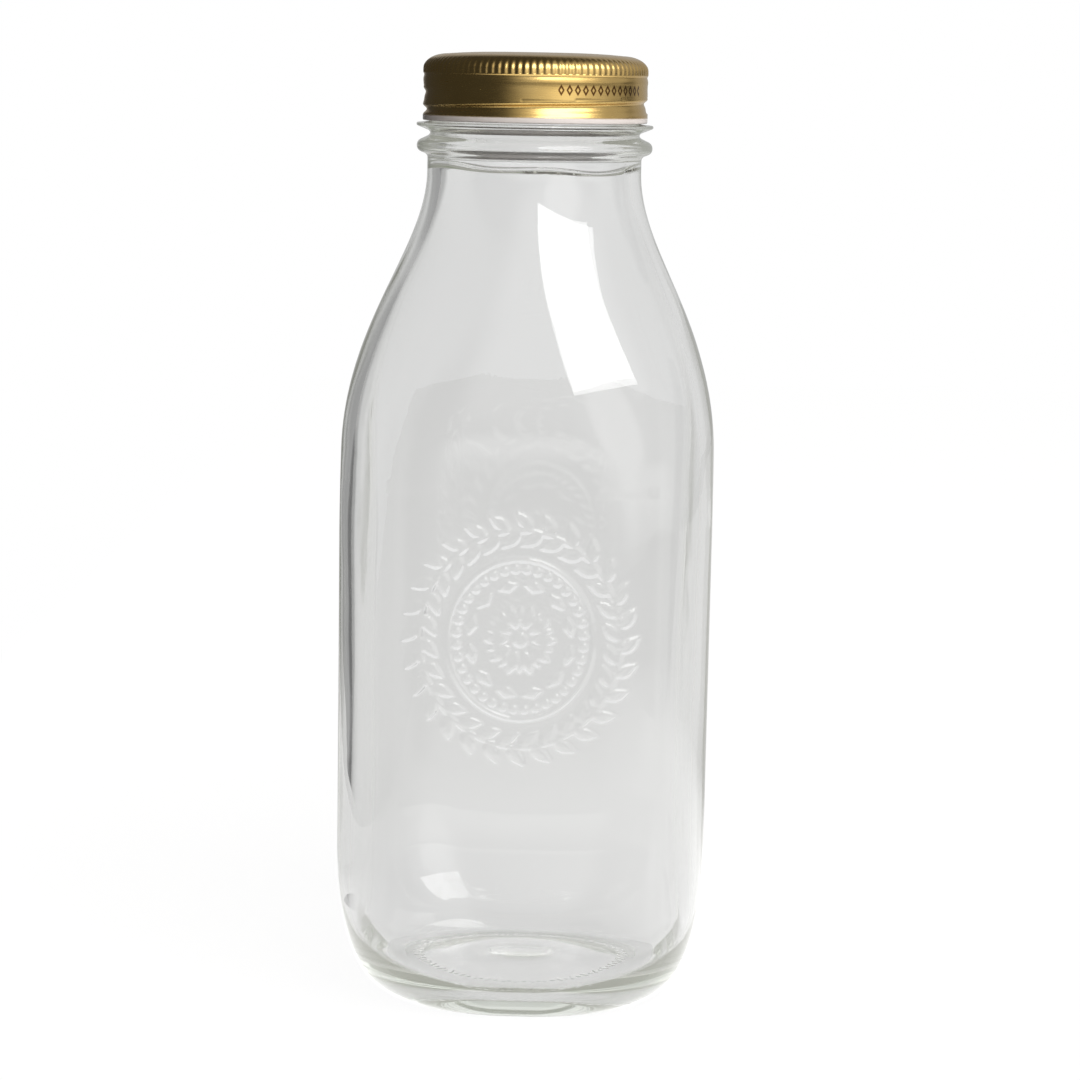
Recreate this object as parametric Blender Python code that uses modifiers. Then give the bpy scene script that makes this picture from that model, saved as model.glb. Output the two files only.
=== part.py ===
"""Clear glass bottle with square sides and a one-piece metal screw cap.

It stands on z = 0 with its front towards -Y. All sizes are in metres.
"""

import math

import bmesh
import bpy
from mathutils import Vector
from mathutils.geometry import interpolate_bezier

# Body of the glass
BODY_WIDTH = 0.0928
BODY_CORNER_RADIUS = 0.027
WALL = 0.0033

# Heel and base
HEEL_HEIGHT = 0.0395
HEEL_REACH = 0.0118
BEARING_ROUNDNESS_SHARE = 0.965
BEARING_RING_WIDTH = 0.0044
PUSH_UP_HEIGHT = 0.0042
CENTRE_THICKNESS = 0.0045
EDGE_THICKNESS = 0.0055
FLOOR_FILLET_HEIGHT = 0.027
FLOOR_FILLET_REACH = 0.011

# Shoulder: the flats lean in over its height, the corners begin to round off below it
SHOULDER_START = 0.1406
SHOULDER_HEIGHT = 0.0684
SHOULDER_PULL_SHARE = 0.456
NECK_PULL_SHARE = 0.285
CORNER_LEAD = 0.022
CORNER_TAIL = 0.0084

# Neck and finish
NECK_RADIUS = 0.0268
BEAD_ABOVE_NECK = 0.0062
BEAD_REACH = 0.0025
BEAD_HALF_HEIGHT = 0.0022
RING_ABOVE_BEAD = 0.0054
RING_REACH = 0.0028
RING_EDGE = 0.0011
RING_FLANK = 0.0009
RING_TOP_FALL = 0.0003
FINISH_STEP = 0.0006
FINISH_HEIGHT = 0.01445
RIM_WIDTH = 0.0033
RIM_ROUND = 0.0008
LEDGE_BELOW_BEAD = 0.006
LEDGE_HEIGHT = 0.0016

# Screw cap
SHEET = 0.0003
THREAD_ROOM = 0.00135
CAP_DOME = 0.0011
CAP_SHOULDER_REACH = 0.0052
CAP_SHOULDER_HEIGHT = 0.0029
FLUTE_COUNT = 104
FLUTE_DEPTH = 0.00045
FLUTE_LENGTH = 0.0011
KNURL_REACH = 0.00023
NOTCH_HEIGHT = 0.0006
NOTCH_DEPTH = 0.00015
CURL_HEIGHT = 0.0015
CURL_WIDTH = 0.0008

# Ring of sealing compound
SEAL_THICKNESS = 0.0008
SEAL_BEVEL = 0.0002
SEAL_SETBACK = 0.0005

# Clearances between pieces
RING_CLEARANCE = 0.00035
SEAL_CLEARANCE = 0.0003
ROOF_CLEARANCE = 0.0005

# Fineness of the meshes
SECTION_POINTS = 60
SHOULDER_SECTIONS = 12
CORNER_SECTIONS = 3
HEEL_SECTIONS = 7
FLOOR_SECTIONS = 5
BEAD_SECTIONS = 6
CAP_SHOULDER_SECTIONS = 3
SEAL_STEPS = 52
SHARP_ANGLE = math.radians(38)
MERGE_DISTANCE = 0.00001

# The push-up's dome, as shares of its radius and of its height
PUSH_UP_SHARES = ((0.3, 0.96), (0.6, 0.735), (0.85, 0.345), (1.0, 0.0))

# The dome of the cap's top, as shares of its radius and of its height
CAP_DOME_SHARES = ((0.0, 1.0), (0.72, 0.7))

# Values that follow from the sizes above
BODY_HALF = BODY_WIDTH / 2
BEARING_HALF = BODY_HALF - HEEL_REACH
PUSH_UP_RADIUS = BEARING_HALF - BEARING_RING_WIDTH
FLOOR_HALF = BODY_HALF - WALL - FLOOR_FILLET_REACH
NECK_START = SHOULDER_START + SHOULDER_HEIGHT
BEAD_Z = NECK_START + BEAD_ABOVE_NECK
RING_Z = BEAD_Z + RING_ABOVE_BEAD
RING_TOP = RING_Z + RING_EDGE / 2
RIM_TOP = RING_TOP + FINISH_HEIGHT
FINISH_RADIUS = NECK_RADIUS - FINISH_STEP
BORE_RADIUS = FINISH_RADIUS - RIM_WIDTH
CAP_INSIDE_RADIUS = FINISH_RADIUS + THREAD_ROOM
CAP_BAND_RADIUS = CAP_INSIDE_RADIUS + SHEET
CAP_RADIUS = CAP_BAND_RADIUS + KNURL_REACH
CAP_BOTTOM = RING_TOP + RING_CLEARANCE
SEAL_BOTTOM = RIM_TOP + SEAL_CLEARANCE
SEAL_TOP = SEAL_BOTTOM + SEAL_THICKNESS
CAP_ROOF = SEAL_TOP + ROOF_CLEARANCE
CAP_TOP = CAP_ROOF + SHEET
FLUTE_TOP = CAP_TOP - CAP_SHOULDER_HEIGHT
FLUTE_BOTTOM = FLUTE_TOP - FLUTE_LENGTH


def clear_scene():
    """Removes the objects of the open scene."""
    for item in list(bpy.data.objects):
        bpy.data.objects.remove(item, do_unlink=True)


def smooth_step(share):
    """Eases a share from 0 to 1 with level ends."""
    share = min(max(share, 0.0), 1.0)
    return share * share * (3 - 2 * share)


def section(height, half_width, corner_radius):
    """One level outline: a square with round corners, or a circle where the radius is the half width."""
    flat = half_width - corner_radius
    outline = []
    for index in range(SECTION_POINTS):
        angle = (index + 0.5) * math.tau / SECTION_POINTS
        across = math.cos(angle)
        along = math.sin(angle)
        x = math.copysign(flat, across) + corner_radius * across
        y = math.copysign(flat, along) + corner_radius * along
        outline.append(Vector((x, y, height)))
    return outline


def circle(height, radius):
    """A round level outline."""
    return section(height, radius, radius)


def loft(name, outlines):
    """Skins a run of outlines into one closed mesh, with a face over its first and last outline."""
    mesh = bmesh.new()
    rings = [[mesh.verts.new(point) for point in outline] for outline in outlines]
    for lower, upper in zip(rings, rings[1:]):
        for index in range(SECTION_POINTS):
            after = (index + 1) % SECTION_POINTS
            mesh.faces.new((lower[index], lower[after], upper[after], upper[index]))
    mesh.faces.new(reversed(rings[0]))
    mesh.faces.new(rings[-1])
    data = bpy.data.meshes.new(name)
    mesh.to_mesh(data)
    mesh.free()
    return bpy.data.objects.new(name, data)


def corner_radius_at(height, half_width):
    """The corners keep their radius on the body and open up to a full circle at the neck."""
    start = SHOULDER_START - CORNER_LEAD
    end = NECK_START - CORNER_TAIL
    eased = smooth_step((height - start) / (end - start))
    body_share = BODY_CORNER_RADIUS / BODY_HALF
    return half_width * (body_share + (1 - body_share) * eased)


def shoulder_heights_and_widths():
    """Pairs of height and half width, up from where the corners begin to open to the neck."""
    low = Vector((BODY_HALF, 0, SHOULDER_START))
    low_handle = low + Vector((0, 0, SHOULDER_HEIGHT * SHOULDER_PULL_SHARE))
    high = Vector((NECK_RADIUS, 0, NECK_START))
    high_handle = high - Vector((0, 0, SHOULDER_HEIGHT * NECK_PULL_SHARE))
    curve = interpolate_bezier(low, low_handle, high_handle, high, SHOULDER_SECTIONS)
    pairs = []
    for index in range(CORNER_SECTIONS):
        height = SHOULDER_START - CORNER_LEAD * (1 - index / CORNER_SECTIONS)
        pairs.append((height, BODY_HALF))
    pairs.extend((point.z, point.x) for point in curve)
    return pairs


def shoulder(inset):
    """The outlines of the shoulder, from the body up to the neck, set in from the outside by inset."""
    outlines = []
    for height, half_width in shoulder_heights_and_widths():
        radius = corner_radius_at(height, half_width)
        outlines.append(section(height, half_width - inset, radius - inset))
    return outlines


def rounded_foot(sections, bottom, height, reach, low_half, low_radius, high_radius):
    """The outlines of a rounded lower edge, from its level start up to its upright end."""
    outlines = []
    for index in range(sections + 1):
        turn = math.pi / 2 * index / sections
        across = math.sin(turn)
        up = 1 - math.cos(turn)
        radius = low_radius + (high_radius - low_radius) * across
        outlines.append(section(bottom + height * up, low_half + reach * across, radius))
    return outlines


def base_outside():
    """The pushed-up dome under the base, out to the flat ring that the bottle stands on, and the heel."""
    outlines = []
    for radius_share, height_share in PUSH_UP_SHARES:
        outlines.append(circle(PUSH_UP_HEIGHT * height_share, PUSH_UP_RADIUS * radius_share))
    bearing_radius = BEARING_HALF * BEARING_ROUNDNESS_SHARE
    outlines += rounded_foot(
        HEEL_SECTIONS, 0, HEEL_HEIGHT, HEEL_REACH, BEARING_HALF, bearing_radius, BODY_CORNER_RADIUS
    )
    return outlines


def base_inside():
    """The floor of the inside, from the wall down and in to its raised middle."""
    floor_radius = FLOOR_HALF * BEARING_ROUNDNESS_SHARE
    wall_radius = BODY_CORNER_RADIUS - WALL
    foot = rounded_foot(
        FLOOR_SECTIONS, EDGE_THICKNESS, FLOOR_FILLET_HEIGHT, FLOOR_FILLET_REACH,
        FLOOR_HALF, floor_radius, wall_radius,
    )
    middle = circle(PUSH_UP_HEIGHT + CENTRE_THICKNESS, FLOOR_HALF / 2)
    return foot[::-1] + [middle]


def bead():
    """The rounded bead round the neck."""
    outlines = []
    for index in range(BEAD_SECTIONS + 1):
        turn = math.pi * (index / BEAD_SECTIONS - 0.5)
        root = NECK_RADIUS if turn < 0 else FINISH_RADIUS
        crown = NECK_RADIUS + BEAD_REACH
        radius = root + (crown - root) * math.cos(turn)
        outlines.append(circle(BEAD_Z + BEAD_HALF_HEIGHT * math.sin(turn), radius))
    return outlines


def sharp_ring():
    """The thin ring just under the cap, with a blunt edge."""
    edge_radius = NECK_RADIUS + RING_REACH
    low_edge = RING_Z - RING_EDGE / 2
    return [
        circle(low_edge - RING_FLANK, FINISH_RADIUS),
        circle(low_edge, edge_radius),
        circle(RING_TOP - RING_TOP_FALL, edge_radius),
        circle(RING_TOP, FINISH_RADIUS),
    ]


def rim():
    """The rounded rim, over from the outside to the bore."""
    rounding = RIM_ROUND * (1 - math.sqrt(0.5))
    return [
        circle(RIM_TOP - RIM_ROUND, FINISH_RADIUS),
        circle(RIM_TOP - rounding, FINISH_RADIUS - rounding),
        circle(RIM_TOP, FINISH_RADIUS - RIM_ROUND),
        circle(RIM_TOP, BORE_RADIUS + RIM_ROUND),
        circle(RIM_TOP - rounding, BORE_RADIUS + rounding),
        circle(RIM_TOP - RIM_ROUND, BORE_RADIUS),
    ]


def neck_inside():
    """The bore, and the small ledge where it opens to the neck."""
    ledge_top = BEAD_Z - LEDGE_BELOW_BEAD + LEDGE_HEIGHT
    return [
        circle(ledge_top, BORE_RADIUS),
        circle(ledge_top - LEDGE_HEIGHT, NECK_RADIUS - WALL),
    ]


def make_bottle_glass():
    """The whole bottle as one wall of glass, outside and inside."""
    outlines = base_outside() + shoulder(0) + bead() + sharp_ring() + rim()
    outlines += neck_inside() + shoulder(WALL)[::-1] + base_inside()
    return loft("bottle_glass", outlines)


def turned(name, profile, steps, closed=False):
    """Turns a profile of radius and height pairs about the Z axis into a mesh object."""
    points = [(radius, 0, height) for radius, height in profile]
    edges = [(index, index + 1) for index in range(len(points) - 1)]
    if closed:
        edges.append((len(points) - 1, 0))
    data = bpy.data.meshes.new(name)
    data.from_pydata(points, edges, [])
    item = bpy.data.objects.new(name, data)
    screw = item.modifiers.new("turn", "SCREW")
    screw.axis = "Z"
    screw.steps = steps
    screw.render_steps = steps
    screw.use_merge_vertices = True
    screw.merge_threshold = MERGE_DISTANCE
    screw.use_normal_calculate = True
    return item


def apply_modifiers(item):
    """Keeps the evaluated mesh of an object in place of its modifiers."""
    bpy.context.scene.collection.objects.link(item)
    bpy.context.view_layer.update()
    evaluated = item.evaluated_get(bpy.context.evaluated_depsgraph_get())
    made = bpy.data.meshes.new_from_object(evaluated)
    item.modifiers.clear()
    item.data = made
    bpy.context.scene.collection.objects.unlink(item)


def cap_dome(base):
    """Radius and height pairs of the slightly domed middle of the cap's top, from the axis out."""
    reach = CAP_RADIUS - CAP_SHOULDER_REACH
    return [(reach * radius_share, base + CAP_DOME * height_share) for radius_share, height_share in CAP_DOME_SHARES]


def cap_shoulder(inset):
    """Radius and height pairs of the cap's rounded top edge, from the flat top down to the flutes."""
    pairs = []
    for index in range(CAP_SHOULDER_SECTIONS + 1):
        turn = math.pi / 2 * (1 - index / CAP_SHOULDER_SECTIONS)
        radius = CAP_RADIUS - CAP_SHOULDER_REACH + (CAP_SHOULDER_REACH - inset) * math.cos(turn)
        height = FLUTE_TOP + (CAP_SHOULDER_HEIGHT - inset) * math.sin(turn)
        pairs.append((radius, height))
    return pairs


def cap_profile():
    """The cap's sheet in section: down the outside, round the curl and up the inside."""
    notch_z = FLUTE_BOTTOM - NOTCH_HEIGHT / 2
    curl_top = CAP_BOTTOM + CURL_HEIGHT
    curl_side = CURL_WIDTH / 2
    curl_outside = CAP_RADIUS
    curl_inside = CAP_RADIUS - CURL_WIDTH
    outside = cap_dome(CAP_TOP) + cap_shoulder(0) + [
        (CAP_RADIUS, FLUTE_BOTTOM),
        (CAP_BAND_RADIUS - NOTCH_DEPTH, notch_z),
        (CAP_BAND_RADIUS, FLUTE_BOTTOM - NOTCH_HEIGHT),
        (CAP_BAND_RADIUS, curl_top),
    ]
    curl = [
        (curl_outside, curl_top - curl_side),
        (curl_outside, CAP_BOTTOM + curl_side),
        (curl_outside - curl_side, CAP_BOTTOM),
        (curl_inside, CAP_BOTTOM + curl_side),
        (curl_inside, curl_top - curl_side),
    ]
    inside = [
        (CAP_INSIDE_RADIUS, curl_top),
        (CAP_INSIDE_RADIUS, FLUTE_BOTTOM - NOTCH_HEIGHT),
        (CAP_RADIUS - SHEET, FLUTE_BOTTOM),
    ]
    inside += cap_shoulder(SHEET)[::-1] + cap_dome(CAP_ROOF)[::-1]
    return outside + curl + inside


def press_flutes(cap):
    """Splits the level edges of the fluted band and pushes each new point in, as a valley between ribs."""
    mesh = bmesh.new()
    mesh.from_mesh(cap.data)
    band = []
    for edge in mesh.edges:
        low, high = sorted(vertex.co.z for vertex in edge.verts)
        level = high - low < MERGE_DISTANCE
        in_band = low > FLUTE_BOTTOM - MERGE_DISTANCE and high < FLUTE_TOP + CAP_SHOULDER_HEIGHT / 2 + SHEET
        round_edge = min(vertex.co.xy.length for vertex in edge.verts) > CAP_INSIDE_RADIUS - CAP_SHOULDER_REACH / 2
        if level and in_band and round_edge:
            band.append(edge)
    cut = bmesh.ops.subdivide_edges(mesh, edges=band, cuts=1)
    for item in cut["geom_inner"]:
        if isinstance(item, bmesh.types.BMVert):
            item.co.xy *= 1 - FLUTE_DEPTH / item.co.xy.length
    mesh.to_mesh(cap.data)
    mesh.free()


def make_cap_shell():
    """The drawn metal cap: a thin sheet with a fluted band, a notch below it, a plain band and a curled edge."""
    cap = turned("cap_shell", cap_profile(), FLUTE_COUNT)
    apply_modifiers(cap)
    press_flutes(cap)
    return cap


def make_sealing_ring():
    """The flat ring of sealing compound inside the cap, over the bottle's rim."""
    inside = BORE_RADIUS
    outside = FINISH_RADIUS - RIM_ROUND - SEAL_SETBACK
    profile = [
        (outside - SEAL_BEVEL, SEAL_TOP),
        (outside, SEAL_TOP - SEAL_BEVEL),
        (outside, SEAL_BOTTOM + SEAL_BEVEL),
        (outside - SEAL_BEVEL, SEAL_BOTTOM),
        (inside + SEAL_BEVEL, SEAL_BOTTOM),
        (inside, SEAL_BOTTOM + SEAL_BEVEL),
        (inside, SEAL_TOP - SEAL_BEVEL),
        (inside + SEAL_BEVEL, SEAL_TOP),
    ]
    ring = turned("sealing_ring", profile, SEAL_STEPS, closed=True)
    apply_modifiers(ring)
    return ring


def material(name, colour, roughness, metallic=0.0, transmission=0.0):
    """A plain material of one colour."""
    made = bpy.data.materials.new(name)
    made.use_nodes = True
    shader = made.node_tree.nodes["Principled BSDF"]
    shader.inputs["Base Color"].default_value = (*colour, 1)
    shader.inputs["Roughness"].default_value = roughness
    shader.inputs["Metallic"].default_value = metallic
    shader.inputs["Transmission Weight"].default_value = transmission
    return made


def finish_piece(item, collection, surface, parent=None):
    """Gives a piece its material, shading, collection and parent."""
    item.data.materials.clear()
    item.data.materials.append(surface)
    item.data.shade_smooth()
    item.data.set_sharp_from_angle(angle=SHARP_ANGLE)
    collection.objects.link(item)
    if parent is not None:
        item.parent = parent


def main():
    clear_scene()
    pieces = bpy.data.collections.new("glass_bottle")
    bpy.context.scene.collection.children.link(pieces)
    cap_axis = bpy.data.objects.new("cap_axis", None)
    pieces.objects.link(cap_axis)
    clear_glass = material("clear_glass", (0.86, 0.9, 0.87), 0.02, transmission=1.0)
    gold_lacquer = material("gold_lacquer", (0.62, 0.42, 0.12), 0.3, metallic=1.0)
    compound = material("sealing_compound", (0.8, 0.78, 0.72), 0.6)
    finish_piece(make_bottle_glass(), pieces, clear_glass)
    finish_piece(make_cap_shell(), pieces, gold_lacquer, cap_axis)
    finish_piece(make_sealing_ring(), pieces, compound, cap_axis)


main()
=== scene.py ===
"""Looks of a clear glass bottle with a gold metal screw cap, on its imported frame. Sizes are in metres."""

import math

import bmesh
import bpy
import numpy as np
from mathutils import Matrix, Vector
from mathutils.geometry import interpolate_bezier


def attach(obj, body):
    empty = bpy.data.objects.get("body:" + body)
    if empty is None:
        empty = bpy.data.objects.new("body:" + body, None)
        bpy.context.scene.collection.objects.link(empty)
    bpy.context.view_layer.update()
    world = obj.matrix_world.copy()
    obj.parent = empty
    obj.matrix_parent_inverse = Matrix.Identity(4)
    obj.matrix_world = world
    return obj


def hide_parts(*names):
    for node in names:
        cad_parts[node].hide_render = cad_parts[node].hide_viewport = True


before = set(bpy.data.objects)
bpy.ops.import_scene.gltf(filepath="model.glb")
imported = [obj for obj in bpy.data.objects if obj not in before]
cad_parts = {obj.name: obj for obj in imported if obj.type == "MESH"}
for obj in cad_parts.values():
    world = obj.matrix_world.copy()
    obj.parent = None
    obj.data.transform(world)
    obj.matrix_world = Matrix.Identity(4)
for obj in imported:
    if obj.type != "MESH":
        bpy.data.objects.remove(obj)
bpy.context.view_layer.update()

# Body of the glass. Each wave of the inner wall has its lobes, its rise per radian and its phase
BODY_HALF = 0.0464
BODY_CORNER_RADIUS = 0.027
WALL = 0.0033
WALL_RIPPLE = 0.00016
WALL_WAVES = ((2, 0.023, 0), (3, -0.031, 1.3), (5, 0.017, 2.1))

# Heel and base
HEEL_HEIGHT = 0.0395
HEEL_REACH = 0.0118
BEARING_ROUNDNESS_SHARE = 0.965
BEARING_RING_WIDTH = 0.0044
STIPPLE_HEIGHT = 0.0012
PUSH_UP_HEIGHT = 0.0042
PUSH_UP_FLATNESS = 2.6
PUSH_UP_MIDDLE_SHARES = (0.1, 0.75)
PUSH_UP_EDGE_SHARES = (0.96, 1)
CENTRE_THICKNESS = 0.0045
EDGE_THICKNESS = 0.0055
FLOOR_FILLET_HEIGHT = 0.021
FLOOR_FILLET_REACH = 0.011
FLOOR_RING_SHARES = (0.88, 0.7, 0.5, 0.25, 0.08)

# Shoulder
SHOULDER_START = 0.1406
SHOULDER_HEIGHT = 0.0684
SHOULDER_PULL_SHARE = 0.456
NECK_PULL_SHARE = 0.285
CORNER_LEAD = 0.022
CORNER_TAIL = 0.0084

# Neck and finish
NECK_RADIUS = 0.0268
NECK_STEP = 0.001
FINISH_RADIUS = 0.0262
BORE_RADIUS = 0.0229
BEAD_Z = 0.2152
BEAD_REACH = 0.0027
BEAD_HALF_HEIGHT = 0.0023
BEAD_LOW_SHARE = 0.55
BEAD_HIGH_SHARE = 0.45
BEAD_END_SHARE = 1.1
BEAD_FOOT_ROUND = 0.0009
BEAD_ROUND = 0.0012
BEAD_END_ROUND = 0.0011
RING_Z = 0.2204
RING_REACH = 0.0028
RING_EDGE = 0.0007
RING_FLANK = 0.001
RING_FOOT_ROUND = 0.0007
RING_EDGE_ROUND = 0.00034
RING_TOP_ROUND = 0.0005
RIM_TOP = 0.2356
RIM_ROUND = 0.0009

# Ledge inside the neck. Each wave of it has its lobes, its share and its phase
LEDGE_Z = 0.21
LEDGE_HEIGHT = 0.0016
LEDGE_ROUND = 0.0008
LEDGE_WAVE = 0.0006
LEDGE_WAVE_SPREAD = 0.0015
LEDGE_WAVES = ((2, 1, 0.7), (5, 0.6, 2.4))

# Screw thread: one turn and a half of six threads to the inch
THREAD_PITCH = 0.0042333
THREAD_LOW = 0.2232
THREAD_HIGH = 0.2335
THREAD_DEPTH = 0.001
THREAD_FIRST_TURN = 0.15
THREAD_LAST_TURN = 1.7
THREAD_FADE = 0.33
THREAD_LEAN = 0.8
THREAD_RUN_OUT = 0.0013
THREAD_BAND_FADE = 0.0006
THREAD_WALL_FADE = 0.001
THREAD_WALL_CLEARANCE = 0.00025
GROOVE_HEIGHT_AT_ZERO = 0.00015

# Screw cap
CAP_BOTTOM = 0.2213
CAP_TOP = 0.2378
CAP_RADIUS = 0.02808
CAP_DOME = 0.0006
CAP_DOME_FLATNESS = 3.6
CAP_DOME_SHARES = (0.04, 0.96)
CAP_SHOULDER_REACH = 0.0062
CAP_SHOULDER_HEIGHT = 0.0037
SHEET = 0.0003
FLUTE_COUNT = 104
FLUTE_DEPTH = 0.00022
FLUTE_LENGTH = 0.001
FLUTE_RISE = 0.0022
FLUTE_FADE = 0.0007
FLUTE_FOOT = 0.0002
NOTCH_HEIGHT = 0.0005
NOTCH_DEPTH = 0.0003
NOTCH_ROUND = 0.00025
COLLAR_HEIGHT = 0.0011
COLLAR_TAPER = 0.0013
COLLAR_ROUND = 0.0005
CAP_BAND_RADIUS = 0.0279
CAP_BAND_ROUND = 0.0012
CAP_RIDGE_Z = 0.2262
CAP_RIDGE_ROUND = 0.0008
CURL_HEIGHT = 0.0013
CURL_WIDTH = 0.0008
CURL_FRONT_ROUND = 0.00045
CURL_ROUND = 0.00035
CURL_SLOPE = 0.0004
CURL_SLOPE_ROUND = 0.0003
ENAMEL_HEIGHT = 0.0012

# Printed row on the cap's band. The half width and the soft edges of a lozenge are shares of the spacing
PRINT_Z = 0.2294
PRINT_HALF_HEIGHT = 0.0014
PRINT_SPACING = 0.0021
PRINT_MIDDLE = math.radians(-50)
PRINT_HALF_ARC = math.radians(27)
PRINT_HALF_WIDTH_SHARE = 0.4
PRINT_OUTER_SHARES = (0.44, 0.36)
PRINT_INNER_SHARES = (0.14, 0.2)

# Raised design on the front: its place, then the half width and half height of each oval of marks
ART_CENTRE_Z = 0.0985
ART_ZONE_HALF_WIDTH = 0.0325
ART_ZONE_HALF_HEIGHT = 0.0345
ART_RELIEF = 0.00042
ART_EDGE = 0.0005
WREATH_OVAL = (0.0242, 0.0266)
BORDER_OVAL = (0.0176, 0.0196)
PEARL_OVAL = (0.0154, 0.0173)
LOZENGE_OVAL = (0.0122, 0.0134)
PETAL_OVAL = (0.0026, 0.0026)
SMALL_PETAL_OVAL = (0.0046, 0.0046)

# Marks of the design and of the base: each one's length and width, or its radius
LEAF_ROOT = 0.0006
WREATH_LEAF = (0.0054, 0.0023)
WREATH_STEM = (0.0011, 0.0006)
BORDER_BAR = (0.0009, 0.0005)
PEARL_RADIUS = 0.00075
LOZENGE = (0.0044, 0.0022)
PETAL = (0.0052, 0.0026)
SMALL_PETAL = (0.0026, 0.0012)
BUTTON_RADIUS = 0.0015
BASE_MARK_RADIUS = 0.026
BASE_MARK_COUNT = 44
BASE_BAR = (0.002, 0.00055)
BASE_DOT_RADIUS = 0.00042
BASE_ZONE_HALF_WIDTH = 0.0026
BASE_RELIEF = 0.00035

# Fineness of the meshes
GLASS_COLUMNS = 192
PUSH_UP_MIDDLE_ROWS = 7
PUSH_UP_EDGE_ROWS = 4
HEEL_ROWS = 18
LOW_BODY_ROWS = 6
HIGH_BODY_ROWS = 3
SHOULDER_ROWS = 42
INNER_SHOULDER_ROWS = 26
INNER_WALL_ROWS = 13
FLOOR_FILLET_ROWS = 14
FILLET_STEPS = 5
ART_SPACING = 0.0013
ART_CUTS = 3
BASE_CUTS = 1
FINE_SPACING = 0.00045
NECK_SPACING = 0.0015
BORE_SPACING = 0.002
COLUMNS_PER_FLUTE = 6
CAP_DOME_ROWS = 8
CAP_SHOULDER_ROWS = 12
CAP_SPACING = 0.0004

# Glass, lacquer and sealing compound: the size and height of their fine patterns, and how they take light
SWELL_SIZE = 0.02222
SWELL_HEIGHT = 0.0004
REFRACTIVE_INDEX = 1.52
GLASS_TINT_DENSITY = 5
STIPPLE_ROUGHNESS = 0.4
# Painted glow: past this many mirror bounces the glass emits a soft pale tone, at the strength below
CAUGHT_BOUNCES = 3.5
PAINTED_CAUGHT_GLOW = 0.22
GRAIN_LENGTH = 0.003846
GRAIN_WIDTH = 0.0003846
GRAIN_HEIGHT = 0.0001
GRAIN_ROUGHNESSES = (0.2, 0.32)
CLOUD_SIZE = 0.00769
COMPOUND_CLOUD_SIZE = 0.00333

# Table: its left, right, near and far edges, and its brightness in the glass and to the camera
TABLE_EDGES = (-0.22, 1.3, -0.75, 1.43)
TABLE_DROP = 0.0002
TABLE_LEVEL = 0.83
TABLE_CAMERA_LEVEL = 1.08
TABLE_GLOW_SHARE = 0.7
TABLE_CAMERA_GLOW_SHARE = 0.88
FRONT_LEVEL = 0.25
FRONT_START = -0.02
FRONT_END = -0.14
POOL_PLACE = (0.12, -0.12, 0)
POOL_CORE = 0.18
POOL_EDGE = 0.38
POOL_LEVEL = 2.4

# Surroundings: each patch has its turn from straight ahead, rise, edge and core in degrees, and its level.
# The lit wall and the backdrop change between two rises, given as sines, and the room starts at a sine too
WALL_PATCH = (146, 0, 72, 14, 1.3)
STRIP_RISES = (0.03, 0.13)
STRIP_END_SHARE = 0.3
GLOW_PATCHES = ((150, 50, 34, 20, 0.8), (100, 35, 50, 30, 0.6), (146, 32, 60, 22, 1), (146, 16, 30, 14, 1.7))
BACKDROP_PATCH = (20, 5, 48, 30, 0.5)
CARD_PATCHES = ((-43, -5, 24, 16, 0.5), (-51, -8, 13, 4, 0.8))
ROOM_LEVEL = 0.06
ROOM_BENT_LEVEL = 0.3
ROOM_START = -0.25
BACKDROP_RISES = (0.17, 0.5)
BACKDROP_LEVELS = (0.755, 0.45)

# Softbox
SOFTBOX_PLACE = (0.646, -1.125, 1.61)
SOFTBOX_AIM = (-0.419, -0.38, 1.61)
SOFTBOX_SIZE = (1.6, 1.48)
SOFTBOX_POWER = 33.5

# Camera, as fitted to the photograph, with its focal length as a share of the picture's width
CAMERA_PLACE = (0.00957, -0.71268, 0.234207)
CAMERA_PITCH = math.radians(9.472)
CAMERA_PAN = math.radians(-0.518)
CAMERA_ROLL = math.radians(1.037)
CAMERA_REACH = 50
BOTTLE_TURN = math.radians(-1.0)
FOCAL_LENGTH_SHARE = 2819.82 / 1080
SENSOR_WIDTH = 36

# Values that follow from the sizes above
BEARING_HALF = BODY_HALF - HEEL_REACH
PUSH_UP_RADIUS = BEARING_HALF - BEARING_RING_WIDTH
NECK_START = SHOULDER_START + SHOULDER_HEIGHT
NECK_LOW = NECK_START + NECK_STEP
FLOOR_HALF = BODY_HALF - WALL - FLOOR_FILLET_REACH
FLUTE_TOP = CAP_TOP - CAP_SHOULDER_HEIGHT
FLUTE_BOTTOM = FLUTE_TOP - FLUTE_LENGTH
NOTCH_Z = FLUTE_BOTTOM - NOTCH_HEIGHT
COLLAR_BOTTOM = NOTCH_Z - COLLAR_HEIGHT
CAP_BAND_TOP = COLLAR_BOTTOM - COLLAR_TAPER
CURL_TOP = CAP_BOTTOM + CURL_HEIGHT


def linear(code):
    """Turns an sRGB hex colour into linear values."""
    values = []
    for place in (1, 3, 5):
        share = int(code[place:place + 2], 16) / 255
        values.append(share / 12.92 if share <= 0.04045 else ((share + 0.055) / 1.055) ** 2.4)
    return (*values, 1)


def new_object(name, data):
    """Puts a new object with its data into the scene."""
    item = bpy.data.objects.new(name, data)
    bpy.context.scene.collection.objects.link(item)
    return item


def feed(tree, node, inputs):
    """Links or sets some inputs of a node."""
    for name, value in inputs.items():
        if isinstance(value, bpy.types.Node):
            tree.links.new(value.outputs[0], node.inputs[name])
        elif isinstance(value, bpy.types.NodeSocket):
            tree.links.new(value, node.inputs[name])
        else:
            node.inputs[name].default_value = value
    return node


def add(tree, kind, inputs=None, **settings):
    """Adds one node to a tree, with its settings and with its inputs linked or set."""
    node = tree.nodes.new(kind)
    for name, value in settings.items():
        setattr(node, name, value)
    return feed(tree, node, inputs or {})


# Outlines and profiles


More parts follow.
